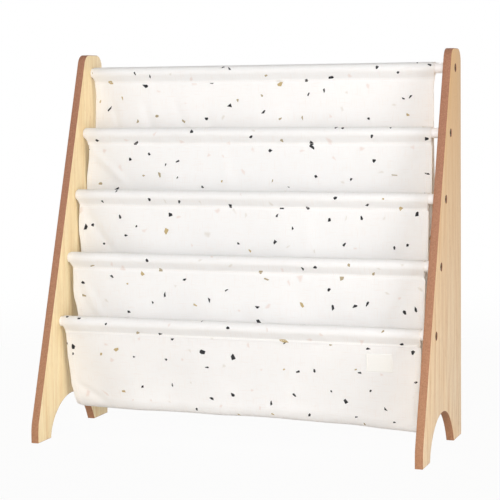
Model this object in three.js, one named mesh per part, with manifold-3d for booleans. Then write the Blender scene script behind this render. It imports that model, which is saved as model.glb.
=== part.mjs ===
// A sling bookshelf for a child's room: two side boards bolted to five rods, and printed cloth that
// hangs from casings on the rods as four pockets, one above and behind the other.
// Millimetres, +Z up, the front towards -Y. The origin is on the floor under the middle of the shelf.
import * as THREE from "three";
import { mergeVertices } from "three/addons/utils/BufferGeometryUtils.js";
import Module from "manifold-3d";

const wasm = await Module();
wasm.setup();

// The shelf as a whole
const WIDTH = 620; // over the outer faces of the side boards
const DEPTH = 258; // from the toe of the front feet to the back edge
const HEIGHT = 602;
const GAP = 0.3; // left between pieces that touch
const OVERRUN = 5; // how far a cutting tool runs past what it cuts

// Side boards
const BOARD_THICKNESS = 12;
const FRONT_FOOT_LENGTH = 45;
const REAR_FOOT_LENGTH = 53;
const TOP_LENGTH = 63; // level top, before its corners are rounded
const TOE_HEIGHT = 24; // where the sloping front edge would meet the upright toe
const TOE_BLEND = 10; // how far the curve between toe and slope reaches from there
const FRONT_TOP_RADIUS = 19;
const REAR_TOP_RADIUS = 20;
const ARCH_HEIGHT = 59;
const ARCH_CROWN_SHARE = 0.5; // along the arch, where it is highest
const ARCH_FRONT_SHARES = { footX: 0.03, footZ: 0.47, crownX: 0.54 };
const ARCH_REAR_SHARES = { footX: 0.16, footZ: 0.49, crownX: 0.54 };

// Rods, counted from the top
const ROD_COUNT = 5;
const ROD_RADIUS = 8;
const ROD_SETBACK = 35; // level distance from the sloping front edge to a rod's axis
const TOP_ROD_DROP = 29.6; // from the top of the boards to the top rod's axis
const LOWEST_ROD_HEIGHT = 179;

// Bolts through the boards, and the threaded inserts they screw into
const BOLT_HEAD_RADIUS = 6;
const BOLT_HEAD_HEIGHT = 3;
const BOLT_SHANK_RADIUS = 3;
const BOLT_REACH = 12; // how far the shank goes into the rod
const BOLT_CLEARANCE = 0.4; // round the shank and the head
const BOLT_HEAD_SUNK = 0.8; // below the face of the board
const SOCKET_RADIUS = 2.3; // over the corners of the hexagon
const SOCKET_DEPTH = 1.8;
const SOCKET_SIDES = 6;
const INSERT_RADIUS = 5;
const INSERT_LENGTH = 13;
const ROD_BORE_SPARE = 2.5; // bore left free behind the insert

// Cloth, two plies sewn together
const CLOTH = 1.2; // thickness
const CASING_EASE = 0.4; // between a rod and its casing
const SEAM_DROP = 18.3; // from a rod's axis to the lower edge of its casing
const SEAM_WIDTH = 4.5; // strip where the casing is sewn shut
const CLOTH_LEFT_SLACK = 7; // bare rod at the left end
const CLOTH_RIGHT_SLACK = 16;
const POCKET_DEPTH = 138; // from the front rod's axis to the bottom of the pocket
const POCKET_BEND = 19; // height of the turn at the bottom
const BACK_LEAN = 8; // how far the back sheet drifts back on its way down
const FRONT_LEAN = 16;
const FOLD_DEPTH = 2.4; // of the soft upright folds
const FOLD_GROWTH = 85; // from the seam to where the folds have their full depth
const FOLD_WAVES = [
  { depthShare: 0.6, count: 2.3, shiftShare: 0.31 },
  { depthShare: 0.4, count: 4.7, shiftShare: 0.17 },
]; // count: waves over the width; shiftShare: how far they move from one sling to the next
const BOTTOM_SAG = 4; // how much lower the bottom hangs at mid width
const WAIST = 3; // how far the free edges draw in

// Blank label on the lowest pocket
const LABEL_WIDTH = 40;
const LABEL_HEIGHT = 27;
const LABEL_THICKNESS = 0.6;
const LABEL_FROM_EDGE = 40; // from the right edge of the cloth to the label
const LABEL_BELOW_ROD = 31; // from the lowest rod's axis to the label's top

// Facets of round stretches
const ROUND_STEPS = 24;
const SMALL_ROUND_STEPS = 16;
const CORNER_STEPS = 6;
const ARCH_STEPS = 9;

// Steps of the cloth grid
const ACROSS_STEPS = 14;
const BACK_STEPS = 5;
const BEND_STEPS = 6;
const FRONT_STEPS = 4;
const LABEL_STEPS = 3;

const INNER_FACE = WIDTH / 2 - BOARD_THICKNESS;
const FRONT_Y = -DEPTH / 2;
const REAR_Y = DEPTH / 2;
const SLOPE = (DEPTH - TOP_LENGTH) / (HEIGHT - TOE_HEIGHT);
const ROD_STEP_Z = (HEIGHT - TOP_ROD_DROP - LOWEST_ROD_HEIGHT) / (ROD_COUNT - 1);
const ROD_STEP_Y = ROD_STEP_Z * SLOPE;
const COUNTERBORE_DEPTH = BOLT_HEAD_HEIGHT + BOLT_HEAD_SUNK;

const frontEdgeY = (z) => FRONT_Y + (z - TOE_HEIGHT) * SLOPE;

const rods = Array.from({ length: ROD_COUNT }, (_, k) => {
  const z = HEIGHT - TOP_ROD_DROP - k * ROD_STEP_Z;
  return { number: k + 1, y: frontEdgeY(z) + ROD_SETBACK, z };
});

const material = (color, roughness, metalness = 0) =>
  new THREE.MeshStandardMaterial({ color, roughness, metalness });
const laminate = material("#ecd0a2", 0.5);
const whitePaint = material("#f7f4f1", 0.35);
const bronzedSteel = material("#54402c", 0.45, 0.8);
const zinc = material("#a9abae", 0.4, 0.9);
const printedCanvas = material("#faf5f1", 0.9);
const labelTape = material("#fdf9f2", 0.8);

const shelf = new THREE.Group();

function add(name, geometry, finish) {
  const mesh = new THREE.Mesh(geometry, finish);
  mesh.name = name;
  shelf.add(mesh);
  return mesh;
}

// Joining and cutting

function solidOf(geometry) {
  const bare = geometry.clone();
  bare.deleteAttribute("normal");
  bare.deleteAttribute("uv");
  const merged = mergeVertices(bare);
  return new wasm.Manifold(
    new wasm.Mesh({
      numProp: 3,
      vertProperties: merged.attributes.position.array,
      triVerts: new Uint32Array(merged.index.array),
    }),
  );
}

function geometryOf(solid) {
  const { vertProperties, triVerts } = solid.getMesh();
  const indexed = new THREE.BufferGeometry();
  indexed.setAttribute("position", new THREE.BufferAttribute(vertProperties, 3));
  indexed.setIndex(new THREE.BufferAttribute(triVerts, 1));
  const geometry = indexed.toNonIndexed();
  geometry.computeVertexNormals();
  return geometry;
}

// A prism along X between two stations, from a shape drawn in Y and Z
function prismAlongX(shape, fromX, toX) {
  const geometry = new THREE.ExtrudeGeometry(shape, {
    depth: toX - fromX,
    bevelEnabled: false,
    curveSegments: CORNER_STEPS,
  });
  const axes = new THREE.Matrix4().makeBasis(
    new THREE.Vector3(0, 1, 0),
    new THREE.Vector3(0, 0, 1),
    new THREE.Vector3(1, 0, 0),
  );
  return geometry.applyMatrix4(axes).translate(fromX, 0, 0);
}

function cylinderAlongX(radius, fromX, toX, y, z, steps = SMALL_ROUND_STEPS) {
  const geometry = new THREE.CylinderGeometry(radius, radius, toX - fromX, steps);
  return geometry.rotateZ(Math.PI / 2).translate((fromX + toX) / 2, y, z);
}

// A turned piece whose axis lies along X; the profile lists [radius, x] pairs
function turnedAlongX(profile, y, z, steps = SMALL_ROUND_STEPS) {
  const points = profile.map(([radius, x]) => new THREE.Vector2(radius, x));
  const geometry = new THREE.LatheGeometry(points, steps);
  return geometry.rotateZ(-Math.PI / 2).translate(0, y, z);
}

// Side boards

function boardOutline() {
  const archLength = DEPTH - FRONT_FOOT_LENGTH - REAR_FOOT_LENGTH;
  const archStart = FRONT_Y + FRONT_FOOT_LENGTH;
  const archEnd = REAR_Y - REAR_FOOT_LENGTH;
  const crown = archStart + archLength * ARCH_CROWN_SHARE;
  const slopeLength = Math.hypot(1, SLOPE);
  const cornerTurn = Math.atan(SLOPE);
  const cornerReach = FRONT_TOP_RADIUS * Math.tan((Math.PI / 2 - cornerTurn) / 2);
  const frontCornerY = frontEdgeY(HEIGHT);

  const shape = new THREE.Shape();
  shape.moveTo(FRONT_Y, 0);
  shape.lineTo(archStart, 0);
  shape.bezierCurveTo(
    archStart + (crown - archStart) * ARCH_FRONT_SHARES.footX,
    ARCH_HEIGHT * ARCH_FRONT_SHARES.footZ,
    crown - (crown - archStart) * ARCH_FRONT_SHARES.crownX,
    ARCH_HEIGHT,
    crown,
    ARCH_HEIGHT,
  );
  shape.bezierCurveTo(
    crown + (archEnd - crown) * ARCH_REAR_SHARES.crownX,
    ARCH_HEIGHT,
    archEnd - (archEnd - crown) * ARCH_REAR_SHARES.footX,
    ARCH_HEIGHT * ARCH_REAR_SHARES.footZ,
    archEnd,
    0,
  );
  shape.lineTo(REAR_Y, 0);
  shape.lineTo(REAR_Y, HEIGHT - REAR_TOP_RADIUS);
  shape.absarc(REAR_Y - REAR_TOP_RADIUS, HEIGHT - REAR_TOP_RADIUS, REAR_TOP_RADIUS, 0, Math.PI / 2);
  shape.absarc(
    frontCornerY + cornerReach,
    HEIGHT - FRONT_TOP_RADIUS,
    FRONT_TOP_RADIUS,
    Math.PI / 2,
    Math.PI - cornerTurn,
  );
  shape.lineTo(
    FRONT_Y + (TOE_BLEND * SLOPE) / slopeLength,
    TOE_HEIGHT + TOE_BLEND / slopeLength,
  );
  const toeTop = TOE_HEIGHT - Math.min(TOE_BLEND, TOE_HEIGHT / 2);
  shape.quadraticCurveTo(FRONT_Y, TOE_HEIGHT, FRONT_Y, toeTop);
  return new THREE.Shape(shape.getPoints(ARCH_STEPS));
}

// side is -1 for the left board and 1 for the right one
function sideBoard(side) {
  const outerX = (side * WIDTH) / 2;
  const innerX = side * INNER_FACE;
  const board = prismAlongX(boardOutline(), Math.min(outerX, innerX), Math.max(outerX, innerX));
  let solid = solidOf(board);
  for (const { y, z } of rods) {
    const drilled = [
      [BOLT_SHANK_RADIUS + BOLT_CLEARANCE, innerX - side * OVERRUN],
      [BOLT_HEAD_RADIUS + BOLT_CLEARANCE, outerX - side * COUNTERBORE_DEPTH],
    ];
    for (const [radius, endX] of drilled) {
      const startX = outerX + side * OVERRUN;
      const drill = cylinderAlongX(radius, Math.min(startX, endX), Math.max(startX, endX), y, z);
      solid = solid.subtract(solidOf(drill));
    }
  }
  return geometryOf(solid);
}

add("side_panel_left", sideBoard(-1), laminate);
add("side_panel_right", sideBoard(1), laminate);

// Rods, inserts and bolts

function rodBody({ y, z }) {
  const end = INNER_FACE - GAP;
  const boreEnd = end - INSERT_LENGTH - ROD_BORE_SPARE;
  const boreRadius = INSERT_RADIUS + GAP;
  const profile = [
    [0, -boreEnd],
    [boreRadius, -boreEnd],
    [boreRadius, -end],
    [ROD_RADIUS, -end],
    [ROD_RADIUS, end],
    [boreRadius, end],
    [boreRadius, boreEnd],
    [0, boreEnd],
  ];
  return turnedAlongX(profile, y, z, ROUND_STEPS);
}

function insertBody(side, { y, z }) {
  const mouth = INNER_FACE - GAP;
  const bore = BOLT_SHANK_RADIUS + GAP;
  const foot = mouth - INSERT_LENGTH;
  const ring = [
    [bore, foot],
    [INSERT_RADIUS, foot],
    [INSERT_RADIUS, mouth],
    [bore, mouth],
    [bore, foot],
  ];
  const geometry = turnedAlongX(ring, 0, 0);
  if (side < 0) geometry.rotateZ(Math.PI);
  return geometry.translate(0, y, z);
}

function boltBody(side, { y, z }) {
  const top = WIDTH / 2 - BOLT_HEAD_SUNK;
  const seat = WIDTH / 2 - COUNTERBORE_DEPTH + GAP;
  const tip = INNER_FACE - GAP - BOLT_REACH;
  const edge = (top - seat) / 4;
  const profile = [
    [0, tip],
    [BOLT_SHANK_RADIUS - edge, tip],
    [BOLT_SHANK_RADIUS, tip + edge],
    [BOLT_SHANK_RADIUS, seat],
    [BOLT_HEAD_RADIUS, seat],
    [BOLT_HEAD_RADIUS, top - edge],
    [BOLT_HEAD_RADIUS - edge, top],
    [0, top],
  ];
  const turned = solidOf(turnedAlongX(profile, 0, 0));
  const socket = cylinderAlongX(SOCKET_RADIUS, top - SOCKET_DEPTH, top + OVERRUN, 0, 0, SOCKET_SIDES);
  const geometry = geometryOf(turned.subtract(solidOf(socket)));
  if (side < 0) geometry.rotateZ(Math.PI);
  return geometry.translate(0, y, z);
}

for (const rod of rods) {
  add(`rod_${rod.number}`, rodBody(rod), whitePaint);
  for (const [side, word] of [[-1, "left"], [1, "right"]]) {
    add(`rod_insert_${word}_${rod.number}`, insertBody(side, rod), zinc);
    add(`bolt_${word}_${rod.number}`, boltBody(side, rod), bronzedSteel);
  }
}

// Cloth casings: a round sleeve over the rod that narrows to a sewn strip below it

const CLOTH_LEFT = -INNER_FACE + CLOTH_LEFT_SLACK;
const CLOTH_RIGHT = INNER_FACE - CLOTH_RIGHT_SLACK;
const CASING_INNER_RADIUS = ROD_RADIUS + CASING_EASE;
const CASING_OUTER_RADIUS = CASING_INNER_RADIUS + CLOTH;
const SEAM_TOP = SEAM_DROP - SEAM_WIDTH;

// The angle at which a line from the point (across, -down) touches a circle round the origin
function touchAngle(radius, across, down) {
  return Math.atan2(-down, across) + Math.acos(radius / Math.hypot(across, down));
}

function casingBody({ y, z }) {
  const outer = touchAngle(CASING_OUTER_RADIUS, CLOTH, SEAM_TOP + CLOTH);
  const inner = touchAngle(CASING_INNER_RADIUS, 0, SEAM_TOP);
  const shape = new THREE.Shape();
  shape.moveTo(-CLOTH, -SEAM_DROP);
  shape.lineTo(CLOTH, -SEAM_DROP);
  shape.lineTo(CLOTH, -SEAM_TOP - CLOTH);
  shape.absarc(0, 0, CASING_OUTER_RADIUS, outer, Math.PI - outer);
  shape.lineTo(-CLOTH, -SEAM_TOP - CLOTH);
  const bore = new THREE.Path();
  bore.absarc(0, 0, CASING_INNER_RADIUS, inner, Math.PI - inner);
  bore.lineTo(0, -SEAM_TOP);
  const outline = new THREE.Shape(shape.getPoints(CORNER_STEPS));
  outline.holes.push(new THREE.Path(bore.getPoints(CORNER_STEPS)));
  return prismAlongX(outline, CLOTH_LEFT, CLOTH_RIGHT).translate(0, y, z);
}

// Slings

// The line that a sling follows in Y and Z, from the seam behind down, round the bottom and up to
// the seam in front, seen from the axis of the front rod. drop is the share of the sag that a
// station takes, and fold the share of the upright folds.
function slingLine() {
  const startZ = ROD_STEP_Z - SEAM_DROP - GAP;
  const endZ = -SEAM_DROP - GAP;
  const bendZ = POCKET_BEND - POCKET_DEPTH;
  const backY = ROD_STEP_Y - CLOTH + BACK_LEAN;
  const frontY = CLOTH + FRONT_LEAN;
  const middleY = (backY + frontY) / 2;
  const stations = [];
  for (let i = 0; i < BACK_STEPS; i++) {
    const share = i / BACK_STEPS;
    const z = THREE.MathUtils.lerp(startZ, bendZ, share);
    stations.push({ y: backY - BACK_LEAN * (1 - share), z, drop: share, hung: startZ - z });
  }
  for (let i = 0; i <= BEND_STEPS; i++) {
    const turn = (Math.PI * i) / BEND_STEPS;
    stations.push({
      y: middleY + ((backY - frontY) / 2) * Math.cos(turn),
      z: bendZ - POCKET_BEND * Math.sin(turn),
      drop: 1,
      hung: FOLD_GROWTH,
    });
  }
  for (let i = FRONT_STEPS - 1; i >= 0; i--) {
    const share = i / FRONT_STEPS;
    const z = THREE.MathUtils.lerp(endZ, bendZ, share);
    stations.push({ y: frontY - FRONT_LEAN * (1 - share), z, drop: share, hung: endZ - z });
  }
  return stations;
}

// How far the cloth stands forward or back at a share of its width, between -1 and 1
function foldAt(share, number) {
  const heights = FOLD_WAVES.map(
    ({ depthShare, count, shiftShare }) =>
      depthShare * Math.sin(2 * Math.PI * (count * share + shiftShare * number)),
  );
  return heights.reduce((sum, height) => sum + height, 0);
}

// A closed thin sheet between its two faces, from rows of centre points with normals
function sheetBody(rows, thickness) {
  const across = rows[0].length;
  const positions = [];
  for (const side of [0.5, -0.5]) {
    for (const row of rows) {
      for (const { point, normal } of row) {
        positions.push(...point.clone().addScaledVector(normal, side * thickness).toArray());
      }
    }
  }
  const top = (i, j) => i * across + j;
  const under = (i, j) => rows.length * across + top(i, j);
  const index = [];
  const quad = (a, b, c, d) => index.push(a, c, b, a, d, c);
  for (let i = 0; i + 1 < rows.length; i++) {
    for (let j = 0; j + 1 < across; j++) {
      quad(top(i, j), top(i + 1, j), top(i + 1, j + 1), top(i, j + 1));
      quad(under(i, j), under(i, j + 1), under(i + 1, j + 1), under(i + 1, j));
    }
    quad(top(i, 0), under(i, 0), under(i + 1, 0), top(i + 1, 0));
    quad(top(i, across - 1), top(i + 1, across - 1), under(i + 1, across - 1), under(i, across - 1));
  }
  for (let j = 0; j + 1 < across; j++) {
    const last = rows.length - 1;
    quad(top(0, j), top(0, j + 1), under(0, j + 1), under(0, j));
    quad(top(last, j), under(last, j), under(last, j + 1), top(last, j + 1));
  }
  const geometry = new THREE.BufferGeometry();
  geometry.setAttribute("position", new THREE.Float32BufferAttribute(positions, 3));
  geometry.setIndex(index);
  geometry.computeVertexNormals();
  return geometry;
}

// A point of sling `number` at a station of its line and a share of its width
function clothPoint(frontRod, station, share) {
  const full = Math.min(1, station.hung / FOLD_GROWTH);
  const grown = full * full * (3 - 2 * full);
  const middle = (CLOTH_LEFT + CLOTH_RIGHT) / 2;
  const halfWidth = (CLOTH_RIGHT - CLOTH_LEFT) / 2 - WAIST * grown;
  return new THREE.Vector3(
    middle + halfWidth * (2 * share - 1),
    frontRod.y + station.y + FOLD_DEPTH * grown * foldAt(share, frontRod.number),
    frontRod.z + station.z - BOTTOM_SAG * station.drop * Math.sin(Math.PI * share),
  );
}

// The direction square to the cloth's line, out of the pocket
function outwards(line, i) {
  const before = line[Math.max(i - 1, 0)];
  const after = line[Math.min(i + 1, line.length - 1)];
  return new THREE.Vector3(0, before.z - after.z, after.y - before.y).normalize();
}

function slingBody(frontRod) {
  const line = slingLine();
  const rows = line.map((station, i) => {
    const normal = outwards(line, i);
    return Array.from({ length: ACROSS_STEPS + 1 }, (_, j) => ({
      point: clothPoint(frontRod, station, j / ACROSS_STEPS),
      normal,
    }));
  });
  return sheetBody(rows, CLOTH);
}

for (const rod of rods) {
  add(`rod_casing_${rod.number}`, casingBody(rod), printedCanvas);
}
for (const rod of rods.slice(1)) {
  add(`sling_${rod.number - 1}`, slingBody(rod), printedCanvas);
}

// The label lies on the front sheet of the lowest pocket and follows its lean and folds

function labelBody(rod) {
  const endZ = -SEAM_DROP - GAP;
  const bendZ = POCKET_BEND - POCKET_DEPTH;
  const clothWidth = CLOTH_RIGHT - CLOTH_LEFT;
  const lean = FRONT_LEAN / (endZ - bendZ);
  const normal = new THREE.Vector3(0, -1, -lean).normalize();
  const standOff = CLOTH / 2 + GAP + LABEL_THICKNESS / 2;
  const rows = Array.from({ length: LABEL_STEPS + 1 }, (_, i) => {
    const z = -LABEL_BELOW_ROD - (LABEL_HEIGHT * (LABEL_STEPS - i)) / LABEL_STEPS;
    const share = (endZ - z) / (endZ - bendZ);
    const station = { y: CLOTH + FRONT_LEAN * share, z, drop: share, hung: endZ - z };
    return Array.from({ length: LABEL_STEPS + 1 }, (_, j) => {
      const fromRight = LABEL_FROM_EDGE + LABEL_WIDTH * (1 - j / LABEL_STEPS);
      const point = clothPoint(rod, station, 1 - fromRight / clothWidth);
      return { point: point.addScaledVector(normal, standOff), normal };
    });
  });
  return sheetBody(rows, LABEL_THICKNESS);
}

add("blank_label", labelBody(rods[ROD_COUNT - 1]), labelTape);

export default shelf;
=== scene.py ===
# %% [markdown]
# A sling bookshelf, dressed for a render
#
# This is a low shelf for a child's room. Two side boards stand upright at the back and slope at
# the front. Five white rods join them, and printed canvas hangs from the rods as four pockets,
# one above and behind the other, so that picture books stand in it with their covers forward.
#
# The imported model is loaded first. It fixes where everything is. What follows builds finer
# pieces in the same places and gives each of them the finish of the real thing.

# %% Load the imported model
import math

import bpy
import numpy as np
from mathutils import Matrix, Vector
from mathutils.geometry import tessellate_polygon


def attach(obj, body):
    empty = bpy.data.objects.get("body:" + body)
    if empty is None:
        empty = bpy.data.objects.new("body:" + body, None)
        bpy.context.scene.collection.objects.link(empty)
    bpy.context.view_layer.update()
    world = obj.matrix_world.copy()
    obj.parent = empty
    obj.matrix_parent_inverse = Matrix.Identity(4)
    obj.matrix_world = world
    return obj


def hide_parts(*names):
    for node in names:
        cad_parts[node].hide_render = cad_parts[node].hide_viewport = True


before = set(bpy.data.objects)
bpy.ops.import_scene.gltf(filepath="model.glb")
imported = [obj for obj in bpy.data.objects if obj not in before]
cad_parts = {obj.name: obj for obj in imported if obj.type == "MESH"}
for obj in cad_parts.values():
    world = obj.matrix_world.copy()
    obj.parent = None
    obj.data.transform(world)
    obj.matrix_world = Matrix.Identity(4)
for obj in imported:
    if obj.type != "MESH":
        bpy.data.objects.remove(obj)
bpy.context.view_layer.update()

# %% [markdown]
# The camera comes first, because every judgement about looks is made through it. Its place,
# turn and focal length were worked out from straight edges and bolts of known position. The
# photograph was cropped off centre, so the lens is shifted down a little, as on a view
# camera.

# %% Camera
CAMERA_PLACE = (0.8456, -2.3653, 0.5344)
CAMERA_YAW, CAMERA_PITCH, CAMERA_ROLL = map(math.radians, (19.51, 4.04, -0.602))
PICTURE_SIDE = 500  # pixels
FOCAL_PIXELS = 1630.5
SHIFT_PIXELS = -40
SENSOR = 36

ahead = Vector((
    -math.sin(CAMERA_YAW) * math.cos(CAMERA_PITCH),
    math.cos(CAMERA_YAW) * math.cos(CAMERA_PITCH),
    -math.sin(CAMERA_PITCH),
))
level_right = Vector((math.cos(CAMERA_YAW), math.sin(CAMERA_YAW), 0))
level_up = level_right.cross(ahead)
right = math.cos(CAMERA_ROLL) * level_right + math.sin(CAMERA_ROLL) * level_up
up = math.cos(CAMERA_ROLL) * level_up - math.sin(CAMERA_ROLL) * level_right

lens = bpy.data.cameras.new("camera")
lens.sensor_width = SENSOR
lens.lens = FOCAL_PIXELS * SENSOR / PICTURE_SIDE
lens.shift_y = SHIFT_PIXELS / PICTURE_SIDE
camera = bpy.data.objects.new("camera", lens)
camera.matrix_world = Matrix.Translation(CAMERA_PLACE) @ Matrix(
    (right, up, -ahead)
).transposed().to_4x4()
bpy.context.scene.collection.objects.link(camera)
bpy.context.scene.camera = camera
print(f"lens {lens.lens:.1f} mm, shift {lens.shift_y:.3f}")

# %% [markdown]
# Colours are written as sRGB hex values, the way a colour picker shows them. Blender's shaders
# work with linear light, so one function turns a hex value into linear numbers.
#
# Materials are built from nodes. One small function adds a node, sets what is set on it and
# joins its inputs, so that a whole finish reads from top to bottom like a recipe.

# %% Helpers for colour and nodes
MM = 0.001


def linear(hex_colour):
    """The linear colour, with alpha, of an sRGB hex value."""
    parts = [int(hex_colour[i:i + 2], 16) / 255 for i in (1, 3, 5)]
    return [c / 12.92 if c <= 0.04045 else ((c + 0.055) / 1.055) ** 2.4 for c in parts] + [1]


def new_finish(name):
    """A new material and its node tree, still empty."""
    finish = bpy.data.materials.new(name)
    finish.use_nodes = True
    finish.node_tree.nodes.clear()
    return finish, finish.node_tree


def add(tree, kind, inputs=None, **settings):
    """A node with its settings.

    inputs maps a socket's name or number to a value, a node or another node's output.
    """
    node = tree.nodes.new("ShaderNode" + kind)
    for name, value in settings.items():
        setattr(node, name, value)
    for key, value in (inputs or {}).items():
        if isinstance(value, bpy.types.Node):
            value = value.outputs[0]
        if isinstance(value, bpy.types.NodeSocket):
            tree.links.new(value, node.inputs[key])
        else:
            node.inputs[key].default_value = linear(value) if isinstance(value, str) else value
    return node


# %% [markdown]
# Meshes are written as arrays of points in millimetres, because every part of the shelf is
# known in millimetres. One function turns points and faces into a Blender object in metres,
# gives it its finish, lets it ride on the frame and hides the plain node that it replaces.

# %% Helper for pieces
def new_piece(name, points, faces, finishes, replaces=(), sharp_angle=180):
    """A mesh object from points in mm; faces are tuples of point numbers."""
    mesh = bpy.data.meshes.new(name)
    mesh.from_pydata((np.asarray(points, float) * MM).tolist(), [], faces)
    for finish in finishes:
        mesh.materials.append(finish)
    mesh.shade_smooth()
    if sharp_angle < 180:
        mesh.set_sharp_from_angle(angle=math.radians(sharp_angle))
    piece = bpy.data.objects.new(name, mesh)
    bpy.context.scene.collection.objects.link(piece)
    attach(piece, "root")
    if replaces:
        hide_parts(*replaces)
    return piece


def bridge(first, second, count):
    """Quads between two closed rings of points, given each ring's first number."""
    return [
        (first + i, first + (i + 1) % count, second + (i + 1) % count, second + i)
        for i in range(count)
    ]


# %% [markdown]
# A product picture of this kind is taken in a white room. The floor is pale and keeps a soft
# shadow under the feet. Where it is looked at directly, most of its brightness comes from a
# plain white, so that floor and background run into each other. For everything else it is a
# pale warm paint, which throws a little light back up under the cloth. Further out the floor
# fades away, which leaves no horizon.

# %% Floor
def seen_directly(tree):
    """1 where the camera, a mirror or glass looks at a surface, 0 where it lights others."""
    rays = add(tree, "LightPath")
    seen = add(tree, "Math", {0: rays.outputs["Is Camera Ray"],
                              1: rays.outputs["Is Glossy Ray"]}, operation="MAXIMUM")
    seen = add(tree, "Math", {0: seen, 1: rays.outputs["Is Transmission Ray"]},
               operation="MAXIMUM")
    # Light that comes through cloth counts as a transmission ray too, but it is scattered
    return add(tree, "Math", {0: seen, 1: rays.outputs["Is Diffuse Ray"]},
               operation="SUBTRACT", use_clamp=True)


FLOOR_SIDE = 8000
FLOOR_DROP = 0.2  # just under the feet, so that the two faces don't share one plane
FLOOR_WHITE_SHARE = 0.95
FLOOR_GLOW_SHARE = 0.05
FADE_START, FADE_END = 0.9, 2.2  # metres from the middle

floor_paint, tree = new_finish("white_studio_floor")
seen = seen_directly(tree)
white_share = add(tree, "MapRange", {"Value": seen, "To Min": FLOOR_GLOW_SHARE,
                                     "To Max": FLOOR_WHITE_SHARE})
paint = add(tree, "BsdfDiffuse", {"Color": "#ccc7c1"})
plain_white = add(tree, "Emission", {"Color": "#ffffff", "Strength": 1.0})
surface = add(tree, "MixShader", {0: white_share, 1: paint, 2: plain_white})
place = add(tree, "TexCoord").outputs["Object"]
distance = add(tree, "VectorMath", {0: place}, operation="LENGTH")
fade = add(tree, "MapRange", {"Value": distance.outputs["Value"], "From Min": FADE_START,
                              "From Max": FADE_END}, interpolation_type="SMOOTHSTEP")
clear = add(tree, "BsdfTransparent")
faded = add(tree, "MixShader", {0: fade, 1: surface, 2: clear})
add(tree, "OutputMaterial", {"Surface": faded})

half_floor = FLOOR_SIDE / 2 * MM
floor_mesh = bpy.data.meshes.new("studio_floor")
floor_mesh.from_pydata(
    [(x * half_floor, y * half_floor, -FLOOR_DROP * MM)
     for x, y in ((-1, -1), (1, -1), (1, 1), (-1, 1))], [], [(0, 1, 2, 3)])
floor_mesh.materials.append(floor_paint)
floor = bpy.data.objects.new("studio_floor", floor_mesh)
bpy.context.scene.collection.objects.link(floor)
print("floor", FLOOR_SIDE, "mm wide")

# %% [markdown]
# The light is soft, from a bright room and four large panels. The strongest stands in front,
# so that the boards throw only narrow shade on the cloth. A weaker one on the right lights the
# right board's outer face and the left board's inner one. One on the left keeps the left
# board's edges from going dark, and one stands behind, for the backs of the slings. Together
# with the room they light a white card to about white, so a colour renders about as it is
# written.

# %% Room light and lamps
bpy.context.scene.view_settings.view_transform = "Standard"
ROOM_STRENGTH = 0.32

world = bpy.data.worlds.new("white_room")
bpy.context.scene.world = world
world.use_nodes = True
tree = world.node_tree
tree.nodes.clear()
seen = seen_directly(tree)
room = add(tree, "Background", {"Color": "#fffdfa", "Strength": ROOM_STRENGTH})
backdrop = add(tree, "Background", {"Color": "#ffffff", "Strength": 1.0})
mixed = add(tree, "MixShader", {0: seen, 1: room, 2: backdrop})
add(tree, "OutputWorld", {"Surface": mixed})

LAMPS = {  # place in metres, side in metres, watts
    "front_panel": ((0.8, -2.75, 0.9), 1.0, 48),
    "right_panel": ((2.2, -1.1, 0.35), 1.1, 22),
    "left_panel": ((-2.2, -1.3, 0.7), 1.2, 13),
    "rear_panel": ((-0.7, 2.4, 0.8), 1.6, 36),
}
LAMP_TARGET = Vector((0, 0, 0.3))

for name, (spot, side, watts) in LAMPS.items():
    lamp = bpy.data.lights.new(name, "AREA")
    lamp.shape = "SQUARE"
    lamp.size = side
    lamp.energy = watts
    panel = bpy.data.objects.new(name, lamp)
    panel.location = spot
    panel.rotation_euler = (LAMP_TARGET - Vector(spot)).to_track_quat("-Z", "Y").to_euler()
    bpy.context.scene.collection.objects.link(panel)
print(len(LAMPS), "lamps")

# %% [markdown]
# The sizes of the shelf, in millimetres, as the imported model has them. Y runs from front to
# back and Z up; a board is a flat outline in Y and Z with its thickness along X.

# %% Sizes of the shelf
WIDTH, DEPTH, HEIGHT = 620, 258, 602
BOARD = 12
INNER_FACE = WIDTH / 2 - BOARD
FRONT, BACK = -DEPTH / 2, DEPTH / 2
FRONT_FOOT, REAR_FOOT, TOP_LENGTH = 45, 53, 63
TOE_HEIGHT, TOE_BLEND = 24, 10
FRONT_TOP_RADIUS, REAR_TOP_RADIUS = 19, 20
ARCH_HEIGHT = 59
ARCH_FRONT_PULL, ARCH_REAR_PULL = (0.03, 0.47), (0.16, 0.49)  # shares of half width and height
ARCH_CROWN_PULL = 0.54
SLOPE = (DEPTH - TOP_LENGTH) / (HEIGHT - TOE_HEIGHT)

ROD_RADIUS = 8
TOP_ROD_HEIGHT, LOWEST_ROD_HEIGHT = 572.4, 179
ROD_SETBACK = 35
ROD_HEIGHTS = np.linspace(TOP_ROD_HEIGHT, LOWEST_ROD_HEIGHT, 5)


def front_edge(z):
    """Y of the sloping front edge at a height."""
    return FRONT + (z - TOE_HEIGHT) * SLOPE


RODS = [(front_edge(z) + ROD_SETBACK, z) for z in ROD_HEIGHTS]
ROD_STEP_Y, ROD_STEP_Z = np.subtract(RODS[0], RODS[1])
print("rods at (y, z):", [(round(y, 2), round(z, 2)) for y, z in RODS])

# %% [markdown]
# A side board is cut from a sheet of fibreboard with a wood-look laminate on both faces. The
# router leaves smooth curves: rounded top corners, a soft bend above the toe, and an arch
# between the feet. Blender's curve objects could draw them, but the same points are needed for
# the eased edges and the flat faces as well, so two short functions work them out.

# %% Helpers for curves
def arc(centre, radius, start, end, steps=14):
    """Points on part of a circle, from one angle to another."""
    turn = np.linspace(start, end, steps + 1)[:, None]
    return np.array(centre) + radius * np.hstack([np.cos(turn), np.sin(turn)])


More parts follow.
